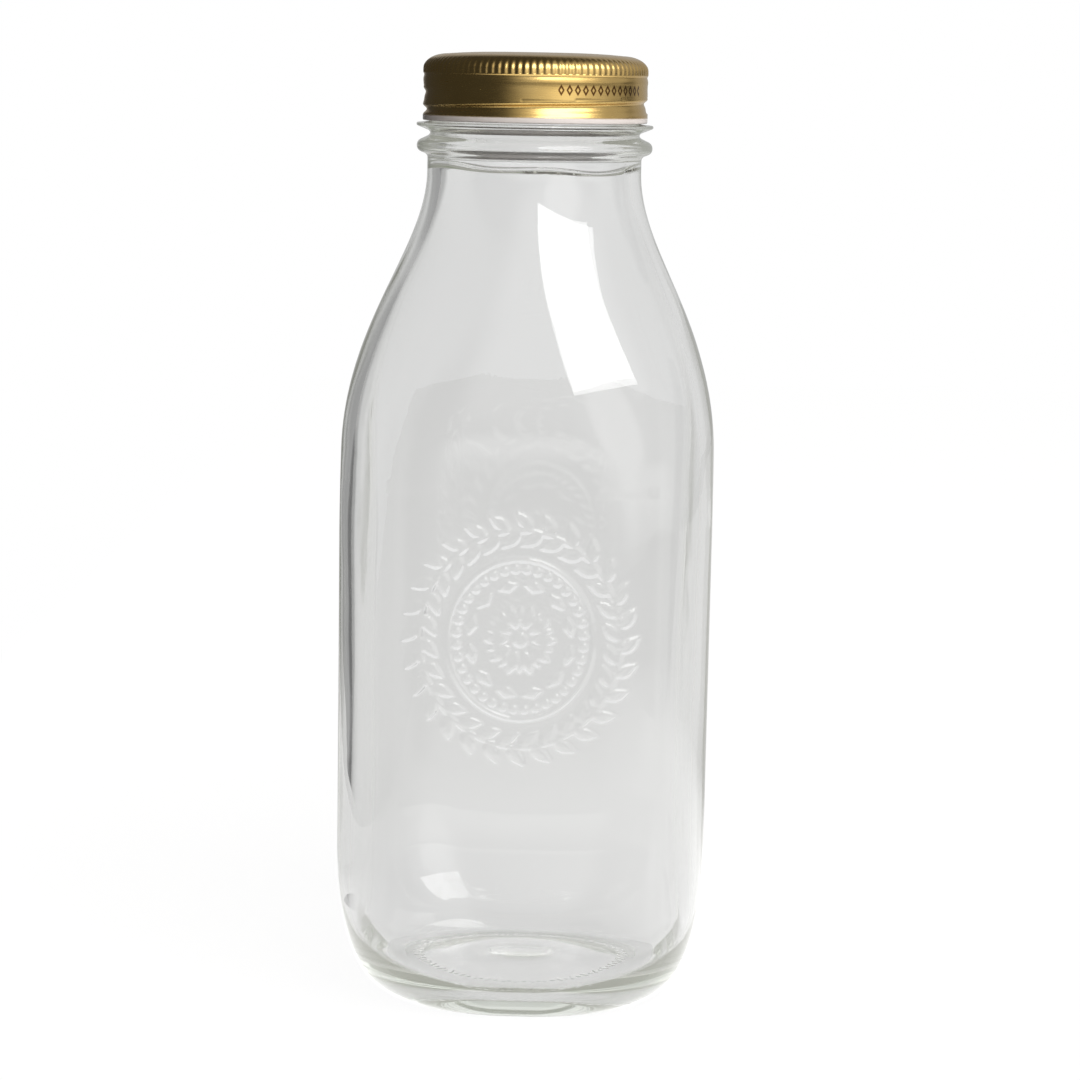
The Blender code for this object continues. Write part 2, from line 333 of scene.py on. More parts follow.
def smooth_step(share):
    """Eases a share from 0 to 1 with level ends."""
    share = np.clip(share, 0, 1)
    return share * share * (3 - 2 * share)


def outline(height, half, radius):
    """A level outline of the glass: a square with round corners, its points at even angles about the axis."""
    turn = (np.arange(GLASS_COLUMNS) + 0.5) * math.tau / GLASS_COLUMNS
    across = np.cos(turn)
    along = np.sin(turn)
    flat = half - radius
    both = np.abs(across) + np.abs(along)
    reach = flat * both + np.sqrt(np.maximum((flat * both) ** 2 - 2 * flat ** 2 + radius ** 2, 0))
    side = half / np.maximum(np.abs(across), np.abs(along))
    on_flat = side * np.minimum(np.abs(across), np.abs(along)) <= flat
    reach = np.where(on_flat, side, reach)
    return np.stack([reach * across, reach * along, np.full(GLASS_COLUMNS, height)], axis=1)


def circle(radius, height, columns=GLASS_COLUMNS):
    """A round level outline."""
    turn = (np.arange(columns) + 0.5) * math.tau / columns
    return np.stack([radius * np.cos(turn), radius * np.sin(turn), np.full(columns, height)], axis=1)


def corner_radius_at(height, half):
    """The corners keep their radius on the body and open up to a full circle at the neck."""
    start = SHOULDER_START - CORNER_LEAD
    end = NECK_START - CORNER_TAIL
    eased = smooth_step((height - start) / (end - start))
    body_share = BODY_CORNER_RADIUS / BODY_HALF
    return half * (body_share + (1 - body_share) * eased)


def filleted(corners):
    """Rounds the corners of a profile. Each corner has a radius from the axis, a height and a fillet."""
    points = [corners[0][:2]]
    for before, corner, after in zip(corners, corners[1:], corners[2:]):
        place = Vector(corner[:2])
        back = Vector(before[:2]) - place
        on = Vector(after[:2]) - place
        start = place + back.normalized() * min(corner[2], back.length / 2)
        end = place + on.normalized() * min(corner[2], on.length / 2)
        for step in range(FILLET_STEPS + 1):
            share = step / FILLET_STEPS
            point = start * (1 - share) ** 2 + place * 2 * share * (1 - share) + end * share ** 2
            points.append((point.x, point.y))
    points.append(corners[-1][:2])
    return points


def spaced(points, spacing):
    """Adds points to a profile so that no step is longer than the spacing."""
    full = [points[0]]
    for start, end in zip(points, points[1:]):
        steps = max(1, math.ceil(math.dist(start, end) / spacing))
        for step in range(1, steps + 1):
            share = step / steps
            full.append(tuple(a + (b - a) * share for a, b in zip(start, end)))
    return full


def skin(name, rings):
    """Skins a run of rings into one closed mesh, with a point in the middle of each end."""
    columns = len(rings[0])
    mesh = bmesh.new()
    rows = [[mesh.verts.new(point) for point in ring] for ring in rings]
    for lower, upper in zip(rows, rows[1:]):
        for index in range(columns):
            after = (index + 1) % columns
            mesh.faces.new((lower[index], lower[after], upper[after], upper[index]))
    for row, forward in ((rows[0], False), (rows[-1], True)):
        middle = mesh.verts.new(sum((vertex.co for vertex in row), Vector()) / columns)
        for index in range(columns):
            pair = (row[index], row[(index + 1) % columns])
            mesh.faces.new((*(pair if forward else pair[::-1]), middle))
    data = bpy.data.meshes.new(name)
    mesh.to_mesh(data)
    mesh.free()
    return new_object(name, data)


# The glass


def base_rings():
    """Under the base: the pushed-up dome, the ring that the bottle stands on, and the heel."""
    rings = []
    middle = np.linspace(*PUSH_UP_MIDDLE_SHARES, PUSH_UP_MIDDLE_ROWS) * PUSH_UP_RADIUS
    edge = np.linspace(*PUSH_UP_EDGE_SHARES, PUSH_UP_EDGE_ROWS) * PUSH_UP_RADIUS
    marks_start = BASE_MARK_RADIUS - BASE_ZONE_HALF_WIDTH
    fine = np.arange(marks_start, BASE_MARK_RADIUS + BASE_ZONE_HALF_WIDTH, FINE_SPACING)
    for radius in sorted([*middle, *fine, *edge]):
        height = PUSH_UP_HEIGHT * (1 - (radius / PUSH_UP_RADIUS) ** PUSH_UP_FLATNESS)
        rings.append(circle(radius, height))
    bearing_radius = BEARING_HALF * BEARING_ROUNDNESS_SHARE
    heel = heel_rings(HEEL_ROWS, 0, HEEL_HEIGHT, HEEL_REACH, BEARING_HALF, bearing_radius, BODY_CORNER_RADIUS)
    return rings + heel


def heel_rings(count, bottom, height, reach, half, radius, high_radius):
    """A rounded lower edge, from its level start up to its upright end."""
    rings = []
    for turn in np.linspace(0, math.pi / 2, count):
        across = math.sin(turn)
        level = bottom + height * (1 - math.cos(turn))
        rings.append(outline(level, half + reach * across, radius + (high_radius - radius) * across))
    return rings


def body_heights():
    """Heights of the rings up the straight body, closer where the design is."""
    low = ART_CENTRE_Z - ART_ZONE_HALF_HEIGHT
    high = ART_CENTRE_Z + ART_ZONE_HALF_HEIGHT
    below = np.linspace(HEEL_HEIGHT, low, LOW_BODY_ROWS)[1:-1]
    fine = np.arange(low, high, ART_SPACING)
    return [*below, *fine, *np.linspace(high, SHOULDER_START, HIGH_BODY_ROWS)[:-1]]


def shoulder_rings(count, inset):
    """The shoulder, where the square body turns into the round neck."""
    low = Vector((BODY_HALF, 0, SHOULDER_START))
    low_handle = low + Vector((0, 0, SHOULDER_HEIGHT * SHOULDER_PULL_SHARE))
    high = Vector((NECK_RADIUS, 0, NECK_START))
    high_handle = high - Vector((0, 0, SHOULDER_HEIGHT * NECK_PULL_SHARE))
    rings = []
    for point in interpolate_bezier(low, low_handle, high_handle, high, count):
        radius = corner_radius_at(point.z, point.x)
        rings.append(outline(point.z, point.x - inset, radius - inset))
    return rings


def finish_profile():
    """The neck's outside with its bead and thin ring, the rim, and the bore down to its ledge."""
    crown = NECK_RADIUS + BEAD_REACH
    edge = NECK_RADIUS + RING_REACH
    outside = filleted([
        (NECK_RADIUS, NECK_LOW, 0),
        (NECK_RADIUS, BEAD_Z - BEAD_HALF_HEIGHT, BEAD_FOOT_ROUND),
        (crown, BEAD_Z - BEAD_LOW_SHARE * BEAD_HALF_HEIGHT, BEAD_ROUND),
        (crown, BEAD_Z + BEAD_HIGH_SHARE * BEAD_HALF_HEIGHT, BEAD_ROUND),
        (FINISH_RADIUS, BEAD_Z + BEAD_END_SHARE * BEAD_HALF_HEIGHT, BEAD_END_ROUND),
        (FINISH_RADIUS, RING_Z - RING_EDGE - RING_FLANK, RING_FOOT_ROUND),
        (edge, RING_Z - RING_EDGE / 2, RING_EDGE_ROUND),
        (edge, RING_Z + RING_EDGE / 2, RING_EDGE_ROUND),
        (FINISH_RADIUS, RING_Z + RING_EDGE, RING_TOP_ROUND),
        (FINISH_RADIUS, THREAD_LOW, 0),
    ])
    thread = spaced([(FINISH_RADIUS, THREAD_LOW), (FINISH_RADIUS, THREAD_HIGH)], FINE_SPACING)
    rim = filleted([
        (FINISH_RADIUS, THREAD_HIGH, 0),
        (FINISH_RADIUS, RIM_TOP, RIM_ROUND),
        (BORE_RADIUS, RIM_TOP, RIM_ROUND),
        (BORE_RADIUS, LEDGE_Z + LEDGE_HEIGHT / 2, LEDGE_ROUND),
        (NECK_RADIUS - WALL, LEDGE_Z - LEDGE_HEIGHT / 2, LEDGE_ROUND),
        (NECK_RADIUS - WALL, NECK_LOW, 0),
    ])
    return spaced(outside, NECK_SPACING) + thread[1:] + spaced(rim, BORE_SPACING)[1:]


def ripple(points):
    """The slight unevenness that blowing leaves on the inner wall, as a share from -1 to 1."""
    turn = np.arctan2(points[:, 1], points[:, 0])
    waves = [np.sin(lobes * turn + points[:, 2] / rise + phase) for lobes, rise, phase in WALL_WAVES]
    return sum(waves) / len(waves)


def inner_rings():
    """The inner wall from the neck down to the floor, and the floor in to its middle."""
    rings = shoulder_rings(INNER_SHOULDER_ROWS, WALL)[::-1]
    bottom = EDGE_THICKNESS + FLOOR_FILLET_HEIGHT
    for height in np.linspace(SHOULDER_START, bottom, INNER_WALL_ROWS)[1:-1]:
        radius = corner_radius_at(height, BODY_HALF) - WALL
        rings.append(outline(height, BODY_HALF - WALL, radius))
    rings += heel_rings(
        FLOOR_FILLET_ROWS, EDGE_THICKNESS, FLOOR_FILLET_HEIGHT, FLOOR_FILLET_REACH,
        FLOOR_HALF, FLOOR_HALF * BEARING_ROUNDNESS_SHARE, BODY_CORNER_RADIUS - WALL,
    )[::-1]
    for ring in rings:
        waved = WALL_RIPPLE * ripple(ring)
        ring[:, :2] *= (1 + waved / np.linalg.norm(ring[:, :2], axis=1))[:, None]
    middle = PUSH_UP_HEIGHT + CENTRE_THICKNESS
    for share in FLOOR_RING_SHARES:
        level = middle + (EDGE_THICKNESS - middle) * smooth_step(share)
        rings.append(circle(FLOOR_HALF * share, level))
    return rings


def name_zone(item, name, weigh):
    """Stores on each point how far it belongs to a named zone, from 0 to 1."""
    count = len(item.data.vertices)
    places = np.empty(count * 3, np.float32)
    item.data.vertices.foreach_get("co", places)
    weights = weigh(places.reshape(-1, 3)).astype(np.float32)
    item.data.attributes.new(name, "FLOAT", "POINT").data.foreach_set("value", weights)


def refine(item, chosen, cuts):
    """Cuts the chosen faces of a mesh finer."""
    mesh = bmesh.new()
    mesh.from_mesh(item.data)
    faces = [face for face in mesh.faces if chosen(face.calc_center_median())]
    edges = list({edge for face in faces for edge in face.edges})
    bmesh.ops.subdivide_edges(mesh, edges=edges, cuts=cuts, use_grid_fill=True)
    mesh.to_mesh(item.data)
    mesh.free()


def on_front(place):
    """True in the zone of the front that carries the raised design."""
    beside = abs(place.z - ART_CENTRE_Z) < ART_ZONE_HALF_HEIGHT and abs(place.x) < ART_ZONE_HALF_WIDTH
    return beside and place.y < -BODY_CORNER_RADIUS and outside_wall(place)


def outside_wall(place):
    """True in the outer half of the body's wall."""
    flat = BODY_HALF - BODY_CORNER_RADIUS
    corner = math.hypot(max(abs(place.x) - flat, 0), max(abs(place.y) - flat, 0))
    return corner > BODY_CORNER_RADIUS - WALL / 2


def on_base(place):
    """True in the ring under the base that carries the marks."""
    return place.z < PUSH_UP_HEIGHT and abs(place.xy.length - BASE_MARK_RADIUS) < BASE_ZONE_HALF_WIDTH


def settle_front(item):
    """Puts the fine points of the front back on the true outline, after the flat cuts between its columns."""
    for vertex in item.data.vertices:
        place = vertex.co
        if not on_front(place):
            continue
        radius = corner_radius_at(place.z, BODY_HALF)
        flat = BODY_HALF - radius
        over = max(abs(place.x) - flat, 0)
        vertex.co.y = -flat - math.sqrt(max(radius ** 2 - over ** 2, 0))


def make_glass():
    """The bottle: one wall of glass, cut finer on the front and under the base, where the raised design and
    the marks go.
    """
    rings = base_rings()
    for height in body_heights():
        rings.append(outline(height, BODY_HALF, corner_radius_at(height, BODY_HALF)))
    rings += shoulder_rings(SHOULDER_ROWS, 0)
    rings += [circle(radius, height) for radius, height in finish_profile()]
    rings += inner_rings()
    turn = np.arange(GLASS_COLUMNS) * math.tau / GLASS_COLUMNS
    wave = sum(share * np.sin(lobes * turn + phase) for lobes, share, phase in LEDGE_WAVES)
    for ring in rings:
        inside = np.linalg.norm(ring[0, :2]) < NECK_RADIUS - WALL / 2
        away = (ring[0, 2] - LEDGE_Z) / LEDGE_WAVE_SPREAD
        if inside and abs(away) < 2:
            ring[:, 2] += LEDGE_WAVE * wave * math.exp(-away ** 2)
    item = skin("bottle", rings)
    refine(item, on_front, ART_CUTS)
    refine(item, on_base, BASE_CUTS)
    settle_front(item)
    return item


# Geometry trees: each shifts the points of a zone, or sets marks in a ring


def new_tree(name, sizes):
    """Starts a geometry tree with one named input for each size."""
    tree = bpy.data.node_groups.new(name, "GeometryNodeTree")
    tree.interface.new_socket("Geometry", in_out="INPUT", socket_type="NodeSocketGeometry")
    tree.interface.new_socket("Geometry", in_out="OUTPUT", socket_type="NodeSocketGeometry")
    for label, kind in {**sizes, "Material": "Material"}.items():
        tree.interface.new_socket(label, in_out="INPUT", socket_type="NodeSocket" + kind)
    return tree, add(tree, "NodeGroupInput")


def end_tree(tree, given, geometry):
    """Ends a geometry tree with real geometry in its material."""
    real = add(tree, "GeometryNodeRealizeInstances", {"Geometry": geometry})
    finish = {"Geometry": real, "Material": given.outputs["Material"]}
    add(tree, "NodeGroupOutput", {"Geometry": add(tree, "GeometryNodeSetMaterial", finish)})
    return tree


def run_tree(item, tree, **values):
    """Runs a geometry tree on an object and keeps the result as its plain mesh."""
    modifier = item.modifiers.new(tree.name, "NODES")
    modifier.node_group = tree
    for socket in tree.interface.items_tree:
        if socket.in_out == "INPUT" and socket.name in values:
            modifier[socket.identifier] = values[socket.name]
    bpy.context.view_layer.update()
    made = bpy.data.meshes.new_from_object(item.evaluated_get(bpy.context.evaluated_depsgraph_get()))
    item.modifiers.clear()
    item.data = made


def turn_and_height(tree, place):
    """The turn about the axis, as an angle, and the height of a place."""
    axes = add(tree, "ShaderNodeSeparateXYZ", {0: place})
    turn = add(tree, "ShaderNodeMath", {0: axes.outputs["Y"], 1: axes.outputs["X"]}, operation="ARCTAN2")
    return turn, axes.outputs["Z"]


def outward(tree, place):
    """The way from the axis out to a place."""
    axes = add(tree, "ShaderNodeSeparateXYZ", {0: place})
    level = add(tree, "ShaderNodeCombineXYZ", {"X": axes.outputs["X"], "Y": axes.outputs["Y"]})
    return add(tree, "ShaderNodeVectorMath", {0: level}, operation="NORMALIZE")


def end_shift(tree, given, way, amount):
    """Ends a tree that shifts points along a way by an amount, as far as they belong to its zone."""
    zone = add(tree, "GeometryNodeInputNamedAttribute", {"Name": given.outputs["Zone"]}, data_type="FLOAT")
    share = add(tree, "ShaderNodeMath", {0: amount, 1: zone}, operation="MULTIPLY")
    offset = add(tree, "ShaderNodeVectorMath", {0: way, "Scale": share}, operation="SCALE")
    moved = {"Geometry": given.outputs["Geometry"], "Offset": offset}
    return end_tree(tree, given, add(tree, "GeometryNodeSetPosition", moved))


def thread_tree():
    """Presses a wall out or in along a screw thread with faded ends. Lean makes its upper flank steeper."""
    names = ("Depth", "Pitch", "Start", "Lean", "First Turn", "Last Turn", "Fade")
    tree, given = new_tree("screw_thread", {"Zone": "String", **dict.fromkeys(names, "Float")})
    size = given.outputs
    place = add(tree, "GeometryNodeInputPosition")
    angle, height = turn_and_height(tree, place)
    turn = add(tree, "ShaderNodeMath", {0: angle, 1: math.tau}, operation="DIVIDE")
    above = add(tree, "ShaderNodeMath", {0: height, 1: size["Start"]}, operation="SUBTRACT")
    climbed = add(tree, "ShaderNodeMath", {0: above, 1: size["Pitch"]}, operation="DIVIDE")
    behind = add(tree, "ShaderNodeMath", {0: climbed, 1: turn}, operation="SUBTRACT")
    whole = add(tree, "ShaderNodeMath", {0: behind}, operation="ROUND")
    off = add(tree, "ShaderNodeMath", {0: behind, 1: whole}, operation="SUBTRACT")
    phase = add(tree, "ShaderNodeMath", {0: off, 1: math.tau}, operation="MULTIPLY")
    level = add(tree, "ShaderNodeMath", {0: phase}, operation="COSINE")
    lean = add(tree, "ShaderNodeMath", {0: level, 1: size["Lean"]}, operation="MULTIPLY")
    leaning = add(tree, "ShaderNodeMath", {0: phase, 1: lean}, operation="SUBTRACT")
    wave = add(tree, "ShaderNodeMath", {0: leaning}, operation="COSINE")
    ridge = add(tree, "ShaderNodeMapRange", {"Value": wave, "From Min": -1, "From Max": 1})
    at = add(tree, "ShaderNodeMath", {0: turn, 1: whole}, operation="ADD")
    full = add(tree, "ShaderNodeMath", {0: size["First Turn"], 1: size["Fade"]}, operation="ADD")
    last_full = add(tree, "ShaderNodeMath", {0: size["Last Turn"], 1: size["Fade"]}, operation="SUBTRACT")
    ramp_in = {"Value": at, "From Min": size["First Turn"], "From Max": full}
    ramp_out = {"Value": at, "From Min": size["Last Turn"], "From Max": last_full}
    amount = add(tree, "ShaderNodeMath", {0: size["Depth"], 1: ridge}, operation="MULTIPLY")
    for ramp in (ramp_in, ramp_out):
        factor = add(tree, "ShaderNodeMapRange", ramp, interpolation_type="SMOOTHSTEP")
        amount = add(tree, "ShaderNodeMath", {0: amount, 1: factor}, operation="MULTIPLY")
    return end_shift(tree, given, outward(tree, place), amount)


def flute_tree():
    """Presses even ribs out of a band round the axis, or valleys into it where the depth is negative."""
    tree, given = new_tree("flutes", {"Zone": "String", "Count": "Float", "Depth": "Float"})
    size = given.outputs
    place = add(tree, "GeometryNodeInputPosition")
    angle, _ = turn_and_height(tree, place)
    phase = add(tree, "ShaderNodeMath", {0: angle, 1: size["Count"]}, operation="MULTIPLY")
    wave = add(tree, "ShaderNodeMath", {0: phase}, operation="COSINE")
    valley = add(tree, "ShaderNodeMapRange", {"Value": wave, "From Min": 1, "From Max": -1})
    depth = add(tree, "ShaderNodeMath", {0: valley, 1: size["Depth"]}, operation="MULTIPLY")
    return end_shift(tree, given, outward(tree, place), depth)


def ring_tree():
    """Sets copies of one flat mark round an oval in the XZ plane, each leaning from the oval's run."""
    sizes = {"Mark": "Object", "Count": "Int", "Half Width": "Float", "Half Height": "Float"}
    sizes.update({"Start": "Float", "Lean": "Float", "Side Lean": "Float"})
    tree, given = new_tree("ring_of_marks", sizes)
    size = given.outputs
    index = add(tree, "GeometryNodeInputIndex")
    share = add(tree, "ShaderNodeMath", {0: index, 1: size["Count"]}, operation="DIVIDE")
    run = add(tree, "ShaderNodeMath", {0: share, 1: math.tau, 2: size["Start"]}, operation="MULTIPLY_ADD")
    cosine = add(tree, "ShaderNodeMath", {0: run}, operation="COSINE")
    sine = add(tree, "ShaderNodeMath", {0: run}, operation="SINE")
    across = add(tree, "ShaderNodeMath", {0: cosine, 1: size["Half Width"]}, operation="MULTIPLY")
    up = add(tree, "ShaderNodeMath", {0: sine, 1: size["Half Height"]}, operation="MULTIPLY")
    place = add(tree, "ShaderNodeCombineXYZ", {"X": across, "Z": up})
    climb = add(tree, "ShaderNodeMath", {0: cosine, 1: size["Half Height"]}, operation="MULTIPLY")
    back = add(tree, "ShaderNodeMath", {0: sine, 1: size["Half Width"]}, operation="MULTIPLY")
    ahead = add(tree, "ShaderNodeMath", {0: back, 1: -1}, operation="MULTIPLY")
    heading = add(tree, "ShaderNodeMath", {0: climb, 1: ahead}, operation="ARCTAN2")
    odd = add(tree, "ShaderNodeMath", {0: index, 1: 2}, operation="MODULO")
    side = add(tree, "ShaderNodeMapRange", {"Value": odd, "To Min": 1, "To Max": -1})
    leans = {0: side, 1: size["Side Lean"], 2: size["Lean"]}
    swung = add(tree, "ShaderNodeMath", leans, operation="MULTIPLY_ADD")
    angle = add(tree, "ShaderNodeMath", {0: heading, 1: swung}, operation="ADD")
    euler = add(tree, "ShaderNodeMath", {0: angle, 1: -1}, operation="MULTIPLY")
    mark = add(tree, "GeometryNodeObjectInfo", {"Object": size["Mark"]})
    points = add(tree, "GeometryNodePoints", {"Count": size["Count"], "Position": place})
    copies = add(tree, "GeometryNodeInstanceOnPoints", {
        "Points": points,
        "Instance": mark.outputs["Geometry"],
        "Rotation": add(tree, "ShaderNodeCombineXYZ", {"Y": euler}),
    })
    joined = add(tree, "GeometryNodeJoinGeometry", {"Geometry": size["Geometry"]})
    tree.links.new(copies.outputs[0], joined.inputs["Geometry"])
    return end_tree(tree, given, joined)


def stamp_tree():
    """Raises a zone's points over flat marks, with soft edges. Across and Up lead into the marks' plane."""
    sizes = {"Zone": "String", "Marks": "Object", "Height": "Float", "Edge": "Float"}
    tree, given = new_tree("raised_design", {**sizes, "Across": "Vector", "Up": "Vector"})
    size = given.outputs
    place = add(tree, "GeometryNodeInputPosition")
    across = add(tree, "ShaderNodeVectorMath", {0: place, 1: size["Across"]}, operation="DOT_PRODUCT")
    up = add(tree, "ShaderNodeVectorMath", {0: place, 1: size["Up"]}, operation="DOT_PRODUCT")
    sample = add(tree, "ShaderNodeCombineXYZ", {"X": across.outputs["Value"], "Z": up.outputs["Value"]})
    flat = add(tree, "GeometryNodeObjectInfo", {"Object": size["Marks"]}).outputs["Geometry"]
    near = add(tree, "GeometryNodeProximity", {0: flat, 2: sample}, target_element="FACES")
    fall = {"Value": near.outputs["Distance"], "From Max": size["Edge"]}
    heights = {"To Min": size["Height"], "To Max": 0}
    height = add(tree, "ShaderNodeMapRange", {**fall, **heights}, interpolation_type="SMOOTHSTEP")
    return end_shift(tree, given, add(tree, "GeometryNodeInputNormal"), height)


# The raised design


def flat_mark(name, points):
    """A flat shape in the XZ plane, kept as the pattern for a ring of marks."""
    data = bpy.data.meshes.new(name)
    data.from_pydata([(x, 0, z) for x, z in points], [], [range(len(points))])
    return bpy.data.objects.new(name, data)


def leaf(length, width):
    """A plain pointed leaf that starts a little off its stem and is widest nearer to it."""
    shares = np.linspace(0, 1, 9)
    edge = [(LEAF_ROOT + length * share, width / 2 * math.sin(math.pi * share ** 0.8)) for share in shares]
    return edge + [(x, -z) for x, z in edge[-2:0:-1]]


def bar(length, width):
    """A short bar along its oval."""
    return [(x * length / 2, z * width / 2) for x, z in ((-1, -1), (1, -1), (1, 1), (-1, 1))]


def lozenge(length, width):
    """A plain lozenge that points along its oval."""
    return [(x * length / 2, z * width / 2) for x, z in ((-1, 0), (0, -1), (1, 0), (0, 1))]


def disc(radius, sides=14):
    """A small round mark."""
    turns = [math.tau * index / sides for index in range(sides)]
    return [(radius * math.cos(turn), radius * math.sin(turn)) for turn in turns]


def marks(name, rings, centre_z=0):
    """Joins rings of marks. Each has its shape, count, oval, and start, lean and side lean in degrees."""
    item = new_object(name, bpy.data.meshes.new(name))
    for shape, count, (half_width, half_height), start, lean, side_lean in rings:
        pattern = flat_mark(name + "_pattern", shape)
        run_tree(item, RING_TREE, **{
            "Mark": pattern, "Count": count, "Half Width": half_width, "Half Height": half_height,
            "Start": math.radians(start), "Lean": math.radians(lean), "Side Lean": math.radians(side_lean),
        })
        bpy.data.objects.remove(pattern)
    item.data.transform(Matrix.Translation((0, 0, centre_z)))
    return item


def make_design():
    """An oval wreath of plain leaves round a rosette, with pearls and lozenges between them."""
    return marks("design", [
        (leaf(*WREATH_LEAF), 56, WREATH_OVAL, 0, 0, 42),
        (bar(*WREATH_STEM), 150, WREATH_OVAL, 0, 0, 0),
        (bar(*BORDER_BAR), 130, BORDER_OVAL, 0, 0, 0),
        (disc(PEARL_RADIUS), 36, PEARL_OVAL, 5, 0, 0),
        (lozenge(*LOZENGE), 12, LOZENGE_OVAL, 15, 0, 0),
        (leaf(*PETAL), 10, PETAL_OVAL, 0, -90, 0),
        (leaf(*SMALL_PETAL), 10, SMALL_PETAL_OVAL, 18, -90, 0),
        (disc(BUTTON_RADIUS), 1, (0, 0), 0, 0, 0),
    ], ART_CENTRE_Z)


def make_base_marks():
    """A ring of short bars and dots, as moulds carry under the base."""
    oval = (BASE_MARK_RADIUS, BASE_MARK_RADIUS)
    return marks("base_marks", [
        (bar(*BASE_BAR), BASE_MARK_COUNT, oval, 0, 90, 24),
        (disc(BASE_DOT_RADIUS), BASE_MARK_COUNT, oval, 4, 0, 0),
    ])


# The cap


def cap_shoulder(inset):
    """The rounded edge of the cap's top, from the top out and down to the flutes, moved in by an inset."""
    points = []
    for turn in np.linspace(math.pi / 2, 0, CAP_SHOULDER_ROWS):
        across = (CAP_SHOULDER_REACH - inset) * math.cos(turn)
        rise = (CAP_SHOULDER_HEIGHT - inset) * math.sin(turn)
        points.append((CAP_RADIUS - CAP_SHOULDER_REACH + across, FLUTE_TOP + rise))
    return points


def cap_side(inset, band_round):
    """The corners of the cap's side from the flutes down to its low ridge, moved in by an inset."""
    corners = [
        (CAP_RADIUS, FLUTE_TOP, 0),
        (CAP_RADIUS, FLUTE_BOTTOM, FLUTE_FOOT),
        (CAP_RADIUS - NOTCH_DEPTH, NOTCH_Z, NOTCH_ROUND),
        (CAP_RADIUS, COLLAR_BOTTOM, COLLAR_ROUND),
        (CAP_BAND_RADIUS, CAP_BAND_TOP, band_round),
        (CAP_RADIUS, CAP_RIDGE_Z, CAP_RIDGE_ROUND),
    ]
    return [(radius - inset, height, fillet) for radius, height, fillet in corners]


def cap_profile():
    """The cap's sheet in section: down the outside, round the curl and up the inside."""
    reach = CAP_RADIUS - CAP_SHOULDER_REACH
    top = [
        (reach * share, CAP_TOP + CAP_DOME * (1 - share ** CAP_DOME_FLATNESS))
        for share in np.linspace(*CAP_DOME_SHARES, CAP_DOME_ROWS)
    ]
    inside_curl = CAP_RADIUS - CURL_WIDTH
    curl = [
        (CAP_RADIUS, CAP_BOTTOM, CURL_FRONT_ROUND),
        (inside_curl, CAP_BOTTOM, CURL_ROUND),
        (inside_curl, CURL_TOP, CURL_ROUND),
        (CAP_RADIUS - SHEET, CURL_TOP + CURL_SLOPE, CURL_SLOPE_ROUND),
    ]
    side = filleted(cap_side(0, CAP_BAND_ROUND) + curl + cap_side(SHEET, CAP_BAND_ROUND / 2)[::-1])
    roof = [(radius, height - SHEET) for radius, height in top[::-1]]
    return top + cap_shoulder(0) + spaced(side, CAP_SPACING)[1:-1] + cap_shoulder(SHEET)[::-1] + roof


def make_cap(surface):
    """The drawn cap: a thin sheet with its flutes, its notch, its rolled thread and its curled edge."""
    columns = FLUTE_COUNT * COLUMNS_PER_FLUTE
    profile = cap_profile()[::-1]
    item = skin("cap", [circle(radius, height, columns) for radius, height in profile])
    name_zone(item, "fluted", lambda places: (
        smooth_step((places[:, 2] - FLUTE_BOTTOM + FLUTE_FOOT / 2) / FLUTE_FOOT)
        * (1 - smooth_step((places[:, 2] - FLUTE_TOP - FLUTE_RISE) / FLUTE_FADE))
        * (np.linalg.norm(places[:, :2], axis=1) > CAP_RADIUS - CAP_SHOULDER_REACH)
    ))
    name_zone(item, "threaded", lambda places: (
        smooth_step((places[:, 2] - CURL_TOP) / THREAD_RUN_OUT)
        * (1 - smooth_step((places[:, 2] - CAP_BAND_TOP) / THREAD_BAND_FADE))
    ))
    # Rows run from under the roof down the inside and up the outside, and one more point closes the underside
    lowest = columns * min(range(len(profile)), key=lambda row: profile[row][1])
    name_zone(item, "enamelled", lambda places: (
        (np.arange(len(places)) < lowest) | (np.arange(len(places)) == len(profile) * columns)
        | (places[:, 2] < CAP_BOTTOM + ENAMEL_HEIGHT)
    ))
    run_tree(item, FLUTE_TREE, Zone="fluted", Count=float(FLUTE_COUNT), Depth=-FLUTE_DEPTH, Material=surface)
    run_tree(item, THREAD_TREE, Zone="threaded", Depth=-THREAD_DEPTH, Material=surface, **thread_sizes(0))
    return item


def thread_sizes(lead_turns):
    """The thread's common sizes. The glass ridge lies half a pitch above the cap's groove."""
    return {
        "Pitch": THREAD_PITCH,
        "Start": CAP_BOTTOM + GROOVE_HEIGHT_AT_ZERO + lead_turns * THREAD_PITCH,
        "Lean": THREAD_LEAN,
        "First Turn": THREAD_FIRST_TURN,
        "Last Turn": THREAD_LAST_TURN,
        "Fade": THREAD_FADE,
    }


